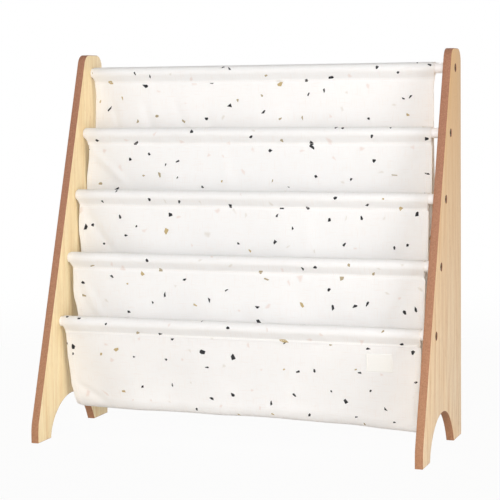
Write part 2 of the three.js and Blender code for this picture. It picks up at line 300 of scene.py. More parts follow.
def bezier(points, steps):
    """Points on the Bezier curve with these control points."""
    t = np.linspace(0, 1, steps + 1)[:, None]
    points = [np.array(p, float) for p in points]
    while len(points) > 1:
        points = [(1 - t) * a + t * b for a, b in zip(points, points[1:])]
    return points[0]


# %% [markdown]
# The outline runs from the front toe through the arch to the rear foot, up the back, over the
# top and down the sloping front. Its curves are sampled finely enough to look round. Moved
# inwards a little, the same outline gives the eased edges.

# %% Outline of a side board
ARCH_STEPS, TOE_STEPS = 26, 10


def board_outline():
    """Points (y, z) round a board, starting at the front toe and going to the back."""
    lean = math.atan(SLOPE)
    toe_reach = TOE_BLEND * np.array([math.sin(lean), math.cos(lean)])
    toe_top = TOE_HEIGHT - min(TOE_BLEND, TOE_HEIGHT / 2)
    arch_start, arch_end = FRONT + FRONT_FOOT, BACK - REAR_FOOT
    crown = (arch_start + arch_end) / 2
    half = crown - arch_start
    crown_pull = ARCH_CROWN_PULL * half
    front_corner = front_edge(HEIGHT) + FRONT_TOP_RADIUS * math.tan((math.pi / 2 - lean) / 2)
    stretches = [
        [(FRONT, 0)],
        bezier([(arch_start, 0), (arch_start + ARCH_FRONT_PULL[0] * half,
                                  ARCH_FRONT_PULL[1] * ARCH_HEIGHT),
                (crown - crown_pull, ARCH_HEIGHT), (crown, ARCH_HEIGHT)], ARCH_STEPS),
        bezier([(crown, ARCH_HEIGHT), (crown + crown_pull, ARCH_HEIGHT),
                (arch_end - ARCH_REAR_PULL[0] * half, ARCH_REAR_PULL[1] * ARCH_HEIGHT),
                (arch_end, 0)], ARCH_STEPS)[1:],
        [(BACK, 0)],
        arc((BACK - REAR_TOP_RADIUS, HEIGHT - REAR_TOP_RADIUS), REAR_TOP_RADIUS, 0,
            math.pi / 2),
        arc((front_corner, HEIGHT - FRONT_TOP_RADIUS), FRONT_TOP_RADIUS, math.pi / 2,
            math.pi - lean),
        bezier([(FRONT + toe_reach[0], TOE_HEIGHT + toe_reach[1]), (FRONT, TOE_HEIGHT),
                (FRONT, toe_top)], TOE_STEPS),
    ]
    return np.vstack(stretches)


def drawn_in(outline, distance):
    """The outline moved inwards by a distance, with its corners kept."""
    before = outline - np.roll(outline, 1, axis=0)
    after = np.roll(outline, -1, axis=0) - outline
    inward = []
    for a, b in zip(before, after):
        a, b = a / np.linalg.norm(a), b / np.linalg.norm(b)
        normal_a, normal_b = np.array([-a[1], a[0]]), np.array([-b[1], b[0]])
        both = normal_a + normal_b
        inward.append(both / max(0.2, 1 + normal_a @ normal_b))
    return outline + distance * np.array(inward)


outline = board_outline()
print(len(outline), "points round a board")

# %% [markdown]
# The faces keep a thin printed and embossed laminate. The cut edges show brown fibreboard, and
# their corners are eased by sanding. Each bolt sits in a stepped hole: a wide counterbore for
# the head and a narrow bore for the shank. The board is built as rings of points that follow
# each other round the edge, and its two flat faces are filled round the five holes.

# %% Side boards
EASING, EASING_POINTS = 0.7, 4
COUNTERBORE_RADIUS, COUNTERBORE_DEPTH, BORE_RADIUS = 6.4, 3.8, 3.4
MOUTH_CHAMFER, FLOOR_CHAMFER = 0.35, 0.3
HOLE_STEPS = 40
FACE, EDGE = 0, 1  # which finish a face takes


def side_board(name, side, finishes):
    """side is -1 for the left board and 1 for the right one."""
    points, faces, kinds = [], [], []

    def ring(pairs, x):
        points.extend((side * x, y, z) for y, z in pairs)
        return len(points) - len(pairs)

    def join(first, second, count, kind):
        made = bridge(first, second, count)
        faces.extend(made if side > 0 else [f[::-1] for f in made])
        kinds.extend([kind] * len(made))

    turns = np.linspace(0, math.pi / 2, EASING_POINTS)
    eased = [(EASING * (1 - math.sin(t)), EASING * (1 - math.cos(t))) for t in turns]
    stations = [(WIDTH / 2 - reach, inset) for reach, inset in eased[::-1]]
    stations += [(INNER_FACE + reach, inset) for reach, inset in eased]
    rims = [ring(drawn_in(outline, inset), x) for x, inset in stations]
    for a, b in zip(rims, rims[1:]):
        join(b, a, len(outline), EDGE)

    holes_outside, holes_inside = [], []
    around = np.linspace(0, 2 * math.pi, HOLE_STEPS, endpoint=False)
    circle = np.stack([np.cos(around), np.sin(around)], axis=1)
    for centre in RODS:
        steps = [
            (COUNTERBORE_RADIUS + MOUTH_CHAMFER, WIDTH / 2),
            (COUNTERBORE_RADIUS, WIDTH / 2 - MOUTH_CHAMFER),
            (COUNTERBORE_RADIUS, WIDTH / 2 - COUNTERBORE_DEPTH + FLOOR_CHAMFER),
            (COUNTERBORE_RADIUS - FLOOR_CHAMFER, WIDTH / 2 - COUNTERBORE_DEPTH),
            (BORE_RADIUS, WIDTH / 2 - COUNTERBORE_DEPTH), (BORE_RADIUS, INNER_FACE),
        ]
        starts = [ring(np.array(centre) + radius * circle, x) for radius, x in steps]
        for a, b in zip(starts, starts[1:]):
            join(a, b, HOLE_STEPS, EDGE)
        holes_outside.append(starts[0])
        holes_inside.append(starts[-1])

    for rim, holes, flip in ((rims[0], holes_outside, False), (rims[-1], holes_inside, True)):
        loops = [list(range(rim, rim + len(outline)))]
        loops += [list(range(start, start + HOLE_STEPS)) for start in holes]
        numbers = [n for loop in loops for n in loop]
        flat = [[Vector((points[n][1], points[n][2], 0)) for n in loop] for loop in loops]
        for triangle in tessellate_polygon(flat):
            corner = [numbers[i] for i in triangle]
            a, b, c = (np.array(points[n][1:]) for n in corner)
            anticlockwise = (b - a)[0] * (c - a)[1] - (b - a)[1] * (c - a)[0] > 0
            if anticlockwise == (flip == (side > 0)):
                corner.reverse()
            faces.append(tuple(corner))
            kinds.append(FACE)
    board = new_piece(name.replace("panel", "board"), points, faces, finishes,
                      [name], sharp_angle=35)
    board.data.polygons.foreach_set("material_index", kinds)
    return board


# %% [markdown]
# The laminate is a melamine film printed like pale maple and pressed with a fine grain. It is
# satin, so its roughness lies near a half, with the usual IOR of a resin, 1.5. The print has
# three sizes of detail: broad soft bands some 25 mm wide, streaks of 3 to 4 mm, and short dark
# pores. All of them run along the board, so their pattern is stretched along Z, and a slow
# noise bends it, as growth rings wander. Real pores are 0.2 mm wide; they are drawn at 0.8 mm
# so that they still show. A pattern's scale says how often it repeats in a metre, so it is
# 1000 divided by the size in millimetres.

# %% Laminate
BANDS, STREAKS, PORES = 42.0, 270.0, 1250.0  # 24 mm, 3.7 mm and 0.8 mm wide
DRAWN_OUT, PORES_DRAWN_OUT = 0.028, 0.07  # share of the scale that is left along the board


def maple_laminate(name, pale, middle, dark, pore, painted_top_shade):
    """Printed laminate: two ground tones, streaks, pores, and painted shade near the top."""
    finish, tree = new_finish(name)
    place = add(tree, "TexCoord").outputs["Object"]
    slow = add(tree, "Mapping", {"Vector": place, "Scale": (1, 1, 0.3)})
    wander = add(tree, "TexNoise", {"Vector": slow, "Scale": 9.0, "Detail": 1.0})
    level = add(tree, "VectorMath", {0: wander.outputs["Color"], 1: (0.5, 0.5, 0.5)},
                operation="SUBTRACT")
    bend = add(tree, "VectorMath", {0: level, 1: (0, 0.035, 0)}, operation="MULTIPLY")
    bent = add(tree, "VectorMath", {0: place, 1: bend}, operation="ADD")
    along = add(tree, "Mapping", {"Vector": bent, "Scale": (1, 1, DRAWN_OUT)})
    band = add(tree, "TexNoise", {"Vector": along, "Scale": BANDS, "Detail": 2.0})
    streak = add(tree, "TexNoise", {"Vector": along, "Scale": STREAKS, "Detail": 3.0,
                                    "Roughness": 0.6})
    short = add(tree, "Mapping", {"Vector": bent, "Scale": (1, 1, PORES_DRAWN_OUT)})
    pores = add(tree, "TexNoise", {"Vector": short, "Scale": PORES, "Detail": 1.0})

    band_share = add(tree, "MapRange", {"Value": band, "From Min": 0.36, "From Max": 0.66})
    streak_share = add(tree, "MapRange", {"Value": streak, "From Min": 0.42, "From Max": 0.72})
    pore_share = add(tree, "MapRange", {"Value": pores, "From Min": 0.62, "From Max": 0.74,
                                        "To Max": 0.5})
    ground = add(tree, "Mix", {0: band_share, 6: middle, 7: pale}, data_type="RGBA")
    parts = add(tree, "SeparateXYZ", {0: place})
    # Painted shade: the ground turns darker and warmer towards the top of the board.
    height = add(tree, "MapRange", {"Value": parts.outputs["Z"], "From Min": 0.1,
                                    "From Max": 0.55, "To Max": 0.75})
    top_shaded = add(tree, "Mix", {0: height, 6: ground.outputs[2], 7: painted_top_shade}, data_type="RGBA")
    streaked = add(tree, "Mix", {0: streak_share, 6: top_shaded.outputs[2], 7: dark},
                   data_type="RGBA")
    colour = add(tree, "Mix", {0: pore_share, 6: streaked.outputs[2], 7: pore},
                 data_type="RGBA")
    gloss = add(tree, "MapRange", {"Value": streak, "To Min": 0.42, "To Max": 0.56})
    pressed = add(tree, "Math", {0: streak_share, 1: pore_share}, operation="ADD")
    relief = add(tree, "Bump", {"Height": pressed, "Strength": 0.25, "Distance": 0.00006},
                 invert=True)
    shade = add(tree, "BsdfPrincipled", {"Base Color": colour.outputs[2], "Roughness": gloss,
                                         "IOR": 1.5, "Normal": relief})
    add(tree, "OutputMaterial", {"Surface": shade})
    return finish


# The last colour of each laminate is its painted shade near the top.
maple_left = maple_laminate("maple_print_laminate_left", "#fbe9bf", "#fae3b4", "#edcc97",
                            "#cfa96f", "#f9e0b0")
# The right laminate's darker, warmer tones are partly its own grain and partly painted shade.
maple_right = maple_laminate("maple_print_laminate_right", "#fee6c1", "#fcdeb4", "#deb07c",
                             "#b78956", "#d49f52")
print(maple_left.name, "and", maple_right.name)

# %% [markdown]
# The cut edge is medium density fibreboard: wood fibres and resin pressed into a brown felt.
# Sanded, it is quite matt. Up close it is mottled in spots of 2 mm and speckled with dark
# fibres of 1 mm, which the press has flattened across the board's thickness. Paler clouds of
# 45 mm run through it. Towards the feet it is painted a little paler, as painted light from
# below.

# %% Fibreboard edge
SPOTS, CLOUDS, FIBRES = 420.0, 22.0, 900.0
PRESSED = 2.6  # how much narrower a fibre is across the thickness

fibreboard, tree = new_finish("sanded_fibreboard_edge")
place = add(tree, "TexCoord").outputs["Object"]
mottle = add(tree, "TexNoise", {"Vector": place, "Scale": SPOTS, "Detail": 4.0,
                                "Roughness": 0.65})
cloud = add(tree, "TexNoise", {"Vector": place, "Scale": CLOUDS, "Detail": 2.0})
flattened = add(tree, "Mapping", {"Vector": place, "Scale": (PRESSED, 1, 1)})
fibre = add(tree, "TexNoise", {"Vector": flattened, "Scale": FIBRES, "Detail": 2.0})
mottle_share = add(tree, "MapRange", {"Value": mottle, "From Min": 0.36, "From Max": 0.66})
fibre_share = add(tree, "MapRange", {"Value": fibre, "From Min": 0.56, "From Max": 0.7,
                                     "To Max": 0.55})
cloud_share = add(tree, "MapRange", {"Value": cloud, "From Min": 0.3, "From Max": 0.7,
                                     "To Max": 0.35})
# Painted light: the fibre tones are paler near the feet and darker higher up the board.
parts = add(tree, "SeparateXYZ", {0: place})
height = add(tree, "MapRange", {"Value": parts.outputs["Z"], "From Min": 0.05,
                                "From Max": 0.4})
pale_fibre = add(tree, "Mix", {0: height, 6: "#b68563", 7: "#ae7b60"}, data_type="RGBA")
dark_fibre = add(tree, "Mix", {0: height, 6: "#9f6f50", 7: "#93644b"}, data_type="RGBA")
brown = add(tree, "Mix", {0: mottle_share, 6: dark_fibre.outputs[2],
                          7: pale_fibre.outputs[2]}, data_type="RGBA")
clouded = add(tree, "Mix", {0: cloud_share, 6: brown.outputs[2],
                            7: pale_fibre.outputs[2]}, data_type="RGBA")
colour = add(tree, "Mix", {0: fibre_share, 6: clouded.outputs[2], 7: "#7d5233"},
             data_type="RGBA")
relief = add(tree, "Bump", {"Height": mottle, "Strength": 0.5, "Distance": 0.00015})
shade = add(tree, "BsdfPrincipled", {"Base Color": colour.outputs[2], "Roughness": 0.75,
                                     "IOR": 1.5, "Normal": relief})
add(tree, "OutputMaterial", {"Surface": shade})
print(fibreboard.name)

# %% [markdown]
# Now both finishes exist and the two boards can be made. They are mirror images of each other.
# Each has a laminate of its own; the right one is painted darker and warmer, partly a bolder
# grain of its own and partly painted shade for its outer face.

# %% Both side boards
boards = [
    side_board("side_panel_left", -1, [maple_left, fibreboard]),
    side_board("side_panel_right", 1, [maple_right, fibreboard]),
]
print([(board.name, len(board.data.polygons)) for board in boards])

# %% [markdown]
# Rods and bolts are round about a line along X, so both are built from rings on that line. A
# ring may have any radius at each angle, which is how the hexagonal socket in a bolt's head is
# made: its radius follows the six flat sides.

# %% Helper for turned pieces
def turned(name, profile, place, finish, replaces, side=1, steps=48, sharp_angle=40):
    """profile lists (x, radius) pairs; a radius is a number or a function of the angle."""
    y, z = place
    around = np.linspace(0, 2 * math.pi, steps, endpoint=False)
    points, faces = [], []
    for x, radius in profile:
        reach = np.array([radius(a) for a in around]) if callable(radius) else radius
        ring = np.stack([np.full(steps, side * x), y + reach * np.cos(around),
                         z + reach * np.sin(around)], axis=1)
        points.extend(ring.tolist())
    for k in range(len(profile) - 1):
        faces.extend(bridge(k * steps, (k + 1) * steps, steps))
    faces.append(tuple(range(steps))[::-1])
    faces.append(tuple(range((len(profile) - 1) * steps, len(profile) * steps)))
    if side < 0:
        faces = [face[::-1] for face in faces]
    return new_piece(name, points, faces, [finish], replaces, sharp_angle)


# %% [markdown]
# The rods are beech dowels, 16 mm thick, sprayed white. Spray paint on turned wood is smooth
# and satin, with a faint orange-peel texture in dimples of 1.4 mm and the slightest ridges of
# the grain below, 1.1 mm apart.

# %% White paint
DIMPLES, GRAIN = 700.0, 900.0

white_paint, tree = new_finish("satin_white_paint")
place = add(tree, "TexCoord").outputs["Object"]
peel = add(tree, "TexNoise", {"Vector": place, "Scale": DIMPLES, "Detail": 1.0})
grain_map = add(tree, "Mapping", {"Vector": place, "Scale": (0.05, 1, 1)})
grain = add(tree, "TexNoise", {"Vector": grain_map, "Scale": GRAIN, "Detail": 2.0})
height = add(tree, "Math", {0: peel, 1: grain}, operation="ADD")
relief = add(tree, "Bump", {"Height": height, "Strength": 0.2, "Distance": 0.00006})
tone = add(tree, "Mix", {0: grain, 6: "#faf9fb", 7: "#f5f4f6"}, data_type="RGBA")
gloss = add(tree, "MapRange", {"Value": peel, "To Min": 0.3, "To Max": 0.42})
shade = add(tree, "BsdfPrincipled", {"Base Color": tone.outputs[2], "Roughness": gloss,
                                     "IOR": 1.5, "Normal": relief})
add(tree, "OutputMaterial", {"Surface": shade})
print(white_paint.name)

# %% [markdown]
# A rod is turned from one profile, as on a lathe. It stops a little short of the boards, so
# that no two faces share one plane. Its ends are bored for the threaded inserts and have a
# small chamfer, which leaves a fine line where rod and board meet.

# %% Rods
ROD_CLEARANCE = 0.3  # between a rod and the board
ROD_END = INNER_FACE - ROD_CLEARANCE
BORE_DEPTH, INSERT_RADIUS, BORE_CENTRE = 15.5, 5.3, 0.6
BORE_END = ROD_END - BORE_DEPTH
ROD_CHAMFER = 0.5

half_rod = [(BORE_END, BORE_CENTRE), (BORE_END, INSERT_RADIUS), (ROD_END, INSERT_RADIUS),
            (ROD_END, ROD_RADIUS - ROD_CHAMFER), (ROD_END - ROD_CHAMFER, ROD_RADIUS)]
ROD_PROFILE = [(-x, r) for x, r in half_rod] + half_rod[::-1]
for number, spot in enumerate(RODS, 1):
    turned(f"painted_rod_{number}", ROD_PROFILE, spot, white_paint,
           [f"rod_{number}"])
print(len(RODS), "rods of", 2 * ROD_RADIUS, "mm")

# %% [markdown]
# The bolts are steel with a dark bronze plating. Plating wears where the key turns, so the rim
# and the socket's edges are a shade lighter; the mesh itself says where it is sharp, as its
# pointiness. A metal's colour is its reflection, so the base colour is the plating's brown and
# metallic is 1. The threaded inserts inside the rods are zinc plated steel. Both platings vary
# in patches of 2 to 3 mm.

# %% Bronze and zinc
BRONZE_PATCHES, ZINC_PATCHES = 480.0, 300.0

bronze, tree = new_finish("bronze_plated_steel")
place = add(tree, "TexCoord").outputs["Object"]
geometry = add(tree, "NewGeometry")
patch = add(tree, "TexNoise", {"Vector": place, "Scale": BRONZE_PATCHES, "Detail": 3.0})
worn = add(tree, "MapRange", {"Value": geometry.outputs["Pointiness"], "From Min": 0.52,
                              "From Max": 0.6, "To Max": 0.7})
plated = add(tree, "Mix", {0: patch, 6: "#2b1c0d", 7: "#3a2611"}, data_type="RGBA")
colour = add(tree, "Mix", {0: worn, 6: plated.outputs[2], 7: "#5e4327"}, data_type="RGBA")
gloss = add(tree, "MapRange", {"Value": patch, "To Min": 0.38, "To Max": 0.55})
shade = add(tree, "BsdfPrincipled", {"Base Color": colour.outputs[2], "Metallic": 1.0,
                                     "Roughness": gloss})
add(tree, "OutputMaterial", {"Surface": shade})

zinc, tree = new_finish("zinc_plated_steel")
place = add(tree, "TexCoord").outputs["Object"]
bloom = add(tree, "TexNoise", {"Vector": place, "Scale": ZINC_PATCHES, "Detail": 3.0})
colour = add(tree, "Mix", {0: bloom, 6: "#b4b7bb", 7: "#c6c5bd"}, data_type="RGBA")
gloss = add(tree, "MapRange", {"Value": bloom, "To Min": 0.28, "To Max": 0.45})
shade = add(tree, "BsdfPrincipled", {"Base Color": colour.outputs[2], "Metallic": 1.0,
                                     "Roughness": gloss})
add(tree, "OutputMaterial", {"Surface": shade})
print(bronze.name, "and", zinc.name)

# %% [markdown]
# A bolt is one profile turned round its own line: the shank, the head with its rounded rim, and
# the socket for the key. The head is sunk a little below the board's face. The inserts keep the
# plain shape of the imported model, because nothing of them can be seen, and only get their
# finish.

# %% Bolts and inserts
HEAD_RADIUS, SHANK_RADIUS = 6, 3
HEAD_SUNK, HEAD_CLEARANCE = 0.8, 0.3  # below the board's face, above the counterbore's floor
HEAD_TOP = WIDTH / 2 - HEAD_SUNK
HEAD_SEAT = WIDTH / 2 - COUNTERBORE_DEPTH + HEAD_CLEARANCE
LENGTH_IN_ROD = 12
SHANK_TIP = ROD_END - LENGTH_IN_ROD
TIP_CHAMFER, SEAT_CHAMFER, SOCKET_CHAMFER = 0.6, 0.2, 0.25
RIM_CURVE = ((0.9, 0), (0.45, 0.15), (0.15, 0.55), (0, 1.2))  # mm below the top, mm inwards
SOCKET_FLAT, SOCKET_DEPTH, SOCKET_POINT = 2.0, 1.8, 0.4  # SOCKET_FLAT is half the key's width


def hexagon(angle, flat=SOCKET_FLAT):
    """Distance from the middle to the side of the socket at an angle."""
    sixth = math.pi / 3
    return flat / math.cos((angle + sixth / 2) % sixth - sixth / 2)


BOLT_PROFILE = [
    (SHANK_TIP, 0.4), (SHANK_TIP, SHANK_RADIUS - TIP_CHAMFER),
    (SHANK_TIP + TIP_CHAMFER, SHANK_RADIUS), (HEAD_SEAT, SHANK_RADIUS),
    (HEAD_SEAT, HEAD_RADIUS - SEAT_CHAMFER), (HEAD_SEAT + SEAT_CHAMFER, HEAD_RADIUS),
    *((HEAD_TOP - below, HEAD_RADIUS - inwards) for below, inwards in RIM_CURVE),
    (HEAD_TOP, lambda a: hexagon(a, SOCKET_FLAT + SOCKET_CHAMFER)),
    (HEAD_TOP - SOCKET_CHAMFER, hexagon), (HEAD_TOP - SOCKET_DEPTH, hexagon),
    (HEAD_TOP - SOCKET_DEPTH - SOCKET_POINT, 0.3),
]
for number, spot in enumerate(RODS, 1):
    for side, word in ((-1, "left"), (1, "right")):
        turned(f"sunk_bolt_{word}_{number}", BOLT_PROFILE, spot, bronze,
               [f"bolt_{word}_{number}"], side)
        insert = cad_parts[f"rod_insert_{word}_{number}"]
        insert.data.materials.clear()
        insert.data.materials.append(zinc)
print(2 * len(RODS), "bolts and inserts")

# %% [markdown]
# The cloth is the largest thing to see. It is two plies of cotton canvas sewn together, off
# white, with a printed speckle like broken stone. Cloth keeps its length, so each piece is
# made from its flat cut: every point knows where it lies on the flat cloth, in metres, and the
# print and weave use that as their map. They then follow the cloth round bends and folds.
#
# Soft unevenness comes from smooth random heights on a grid, always from the same seeds.

# %% Helpers for uneven cloth
NOISE_GRID, NOISE_START = 96, 7


def soft_noise(u, v, size, seed):
    """Smooth heights between -1 and 1, with bumps about `size` mm apart."""
    grid = np.random.default_rng(seed).uniform(-1, 1, (NOISE_GRID, NOISE_GRID))
    a, b = u / size + NOISE_START, v / size + NOISE_START
    i, j = np.floor(a).astype(int), np.floor(b).astype(int)
    s, t = a - i, b - j
    s, t = s * s * (3 - 2 * s), t * t * (3 - 2 * t)
    next_i, next_j = (i + 1) % NOISE_GRID, (j + 1) % NOISE_GRID
    i, j = i % NOISE_GRID, j % NOISE_GRID
    return ((1 - s) * (1 - t) * grid[i, j] + s * (1 - t) * grid[next_i, j]
            + (1 - s) * t * grid[i, next_j] + s * t * grid[next_i, next_j])


def smooth_step(value, low, high):
    """0 up to low, 1 from high on, and a smooth rise between them."""
    share = np.clip((value - low) / (high - low), 0, 1)
    return share * share * (3 - 2 * share)


def lengths_along(path):
    """How far each point of a path lies from its start."""
    return np.concatenate([[0], np.cumsum(np.linalg.norm(np.diff(path, axis=0), axis=1))])


def resampled(at, lengths, values):
    """Values along a path, column by column, at other distances from its start."""
    return np.stack([np.interp(at, lengths, column) for column in values.T], axis=1)


# %% [markdown]
# A piece of cloth is described by the points halfway through its thickness, as a grid. The
# same helper gives every piece its two faces and closes them with a rounded rim, because a cut
# and folded edge of cloth is never sharp.

# %% Helpers for pieces of cloth
CLOTH = 1.2  # two plies
RIM_TURNS = np.radians([-60, -20, 20, 60])
CUT_SPACING = 700  # mm between flat cuts, so that each piece gets its own part of the print


def grid_normals(points):
    """Unit normals of a grid of points, rows by columns by 3."""
    along, across = np.gradient(points, axis=0), np.gradient(points, axis=1)
    normal = np.cross(along, across)
    return normal / np.linalg.norm(normal, axis=2, keepdims=True)


def cloth_piece(name, points, flat, thickness, finish, replaces=()):
    """A closed sheet with rounded rims round a grid of middle points, in mm.

    flat holds each point's place on the flat cut; thickness is a number or one for each point.
    """
    rows, columns = points.shape[:2]
    normal = grid_normals(points)
    half = np.broadcast_to(np.asarray(thickness, float), (rows, columns))[..., None] / 2
    border = ([(0, j) for j in range(columns)] + [(i, columns - 1) for i in range(1, rows)]
              + [(rows - 1, j) for j in range(columns - 2, -1, -1)]
              + [(i, 0) for i in range(rows - 2, 0, -1)])
    rim_i, rim_j = np.array(border).T
    inside = points[np.clip(rim_i, 1, rows - 2), np.clip(rim_j, 1, columns - 2)]
    edge = points[rim_i, rim_j]
    edge_normal, edge_half = normal[rim_i, rim_j], half[rim_i, rim_j]
    outward = edge - inside
    outward -= (outward * edge_normal).sum(1, keepdims=True) * edge_normal
    outward /= np.linalg.norm(outward, axis=1, keepdims=True)

    layers = [(points + half * normal).reshape(-1, 3), (points - half * normal).reshape(-1, 3)]
    for turn in RIM_TURNS[::-1]:
        layers.append(edge + edge_half * (math.sin(turn) * edge_normal
                                          + math.cos(turn) * outward))
    flats = [flat.reshape(-1, 2)] * 2 + [flat[rim_i, rim_j]] * len(RIM_TURNS)

    size = rows * columns
    number = np.arange(size).reshape(rows, columns)
    a, b, c, d = number[:-1, :-1], number[1:, :-1], number[1:, 1:], number[:-1, 1:]
    front = np.stack([a, b, c, d], axis=-1).reshape(-1, 4)
    faces = [*front, *(front[:, ::-1] + size)]
    rim = number[rim_i, rim_j]
    loops = [rim] + [2 * size + k * len(rim) + np.arange(len(rim))
                     for k in range(len(RIM_TURNS))] + [rim + size]
    for near, far in zip(loops, loops[1:]):
        faces += list(np.stack([near, np.roll(near, -1), np.roll(far, -1), far], axis=1))
    made = new_piece(name, np.vstack(layers), [tuple(int(n) for n in f) for f in faces],
                     [finish], replaces)
    corners = np.zeros(len(made.data.loops), int)
    made.data.loops.foreach_get("vertex_index", corners)
    layer = made.data.uv_layers.new(name="flat_cut")
    layer.data.foreach_set("uv", (np.vstack(flats)[corners] * MM).ravel())
    return made


# %% [markdown]
# The seams are sewn with spun polyester thread. It has a little more shine than cotton, and it
# is twisted from plies, which show as slanting ridges 1.5 mm apart. The bands of a wave texture
# run through ten radians to a unit, so its scale is 628 divided by that size in millimetres.

# %% Thread
PLIES = 420.0  # 1.5 mm apart

thread, tree = new_finish("polyester_thread")
place = add(tree, "TexCoord").outputs["Object"]
ply = add(tree, "TexWave", {"Vector": place, "Scale": PLIES}, bands_direction="DIAGONAL")
colour = add(tree, "Mix", {0: ply, 6: "#efe6dd", 7: "#faf5ef"}, data_type="RGBA")
relief = add(tree, "Bump", {"Height": ply, "Strength": 0.4, "Distance": 0.00008})
shade = add(tree, "BsdfPrincipled", {"Base Color": colour.outputs[2], "Roughness": 0.55,
                                     "IOR": 1.5, "Sheen Weight": 0.2, "Normal": relief})
add(tree, "OutputMaterial", {"Surface": shade})
print(thread.name)

# %% [markdown]
# The seams are lockstitched. A stitch is a short bead of thread that dives into the cloth at
# both ends, so each one is a small capsule with bent ends. A bump pattern could draw a row of
# them, but it would look flat from close by. There is one every 3.2 mm. The thread is drawn
# 0.5 mm thick, half as thick again as a real one, so that the rows can be seen.

# %% Stitches
STITCH, STITCH_GAP = 2.5, 0.7
THREAD_RADIUS = 0.26
THREAD_SIDES = 6
BEAD = np.array([  # share of the stitch, mm above the cloth, share of the thread's radius
    (0, -0.2, 0.35), (0.12, 0.05, 0.85), (0.35, 0.12, 1),
    (0.65, 0.12, 1), (0.88, 0.05, 0.85), (1, -0.2, 0.35),
])
print("a stitch every", STITCH + STITCH_GAP, "mm")


def stitch_row(name, path, normals):
    """Stitches along a path of points in mm, lying on the side that the normals point to."""
    lengths = lengths_along(path)
    starts = np.arange(STITCH_GAP, lengths[-1] - STITCH, STITCH + STITCH_GAP)
    shares, lifts, widths = BEAD.T
    at = (starts[:, None] + shares * STITCH).ravel()
    middle, normal = resampled(at, lengths, path), resampled(at, lengths, normals)
    normal /= np.linalg.norm(normal, axis=1, keepdims=True)
    middle = middle.reshape(len(starts), -1, 3)
    normal = normal.reshape(len(starts), -1, 3)
    middle = middle + lifts[:, None] * normal
    direction = middle[:, -1:] - middle[:, :1]
    sideways = np.cross(direction, normal)
    sideways /= np.linalg.norm(sideways, axis=2, keepdims=True)
    turn = np.linspace(0, 2 * math.pi, THREAD_SIDES, endpoint=False)
    ring = (np.cos(turn)[:, None] * normal[:, :, None] + np.sin(turn)[:, None]
            * sideways[:, :, None])
    points = middle[:, :, None] + (widths * THREAD_RADIUS)[:, None, None] * ring
    faces = []
    for k in range(len(starts)):
        first = k * len(shares) * THREAD_SIDES
        for j in range(len(shares) - 1):
            faces += bridge(first + j * THREAD_SIDES, first + (j + 1) * THREAD_SIDES,
                            THREAD_SIDES)
        last = first + (len(shares) - 1) * THREAD_SIDES
        faces.append(tuple(range(first, first + THREAD_SIDES))[::-1])
        faces.append(tuple(range(last, last + THREAD_SIDES)))
    return new_piece(name, points.reshape(-1, 3), faces, [thread])


# %% [markdown]
# The print: chips of broken stone in charcoal, two ochres, pale pink and pale grey, some 4 to
# 10 mm large, on off-white. The pale ones are the largest. A speckle of this kind is a common
# pattern, and this one is laid out by chance. A Voronoi pattern splits the cloth into cells of
# 36 mm, and each cell holds one chip, so chips keep apart. The cell's own random numbers say
# how its chip is turned, how large and how slim it is, and what ink it has.

# %% Places of the chips
CHIP_SPACING = 36.0
LARGEST_CHIP, SMALLEST_CHIP = 10, 4.3
PALE_INKS = 0.71  # from here on an ink is pale, and its edge is soft

canvas, tree = new_finish("printed_cotton_canvas")
flat = add(tree, "UVMap", uv_map="flat_cut")
in_cells = add(tree, "VectorMath", {0: flat, "Scale": 1000 / CHIP_SPACING}, operation="SCALE")
cell = add(tree, "TexVoronoi", {"Vector": in_cells, "Scale": 1.0, "Randomness": 0.88},
           voronoi_dimensions="2D")
chance = add(tree, "SeparateColor", {0: cell.outputs["Color"]})
away = add(tree, "VectorMath", {0: in_cells, 1: cell.outputs["Position"]},
           operation="SUBTRACT")
angle = add(tree, "Math", {0: chance.outputs["Red"], 1: 2 * math.pi}, operation="MULTIPLY")
turned_away = add(tree, "VectorRotate", {"Vector": away, "Angle": angle},
                  rotation_type="Z_AXIS")
kind = add(tree, "TexWhiteNoise", {"Vector": cell.outputs["Position"]},
           noise_dimensions="2D")
pale = add(tree, "Math", {0: kind.outputs["Value"], 1: PALE_INKS}, operation="GREATER_THAN")
# One fine cell is about as wide as its chip, and more chips are small than large
smallness = add(tree, "Math", {0: chance.outputs["Green"], 1: 0.6}, operation="POWER")
size_step = add(tree, "MapRange", {"Value": smallness, "To Min": CHIP_SPACING / LARGEST_CHIP,
                                   "To Max": CHIP_SPACING / SMALLEST_CHIP})
pale_step = add(tree, "MapRange", {"Value": pale, "To Min": 1.0, "To Max": 0.72})
per_cell = add(tree, "Math", {0: size_step, 1: pale_step}, operation="MULTIPLY")
stretch = add(tree, "MapRange", {"Value": chance.outputs["Blue"], "To Min": 1.0,
                                 "To Max": 2.1})
narrow = add(tree, "Math", {0: per_cell, 1: stretch}, operation="MULTIPLY")
scale = add(tree, "CombineXYZ", {0: per_cell, 1: narrow})
local = add(tree, "VectorMath", {0: turned_away, 1: scale}, operation="MULTIPLY")
print("a chip every", CHIP_SPACING, "mm")

# %% [markdown]
# The shape of a chip is one cell of a finer Voronoi pattern, because broken stone has just such
# straight edges and sharp corners. A point belongs to the chip if it lies in the same fine cell
# as the chip's middle. The distance to that cell's edge gives the chip its rim, which is crisp
# on the dark inks and soft on the pale ones.

# %% Shapes and inks of the chips
CHIPS = (  # a chip takes the last ink whose number is not above its own random one
    (0.0, "#29282c"), (0.48, "#b4a587"), (0.60, "#c5af80"), (PALE_INKS, "#f2e9e5"),
    (0.87, "#ece9e4"),
)
SCATTER = 53.0  # the chips take their shapes from a square of so many fine cells
SAME_SPOT = 0.01  # in fine cells

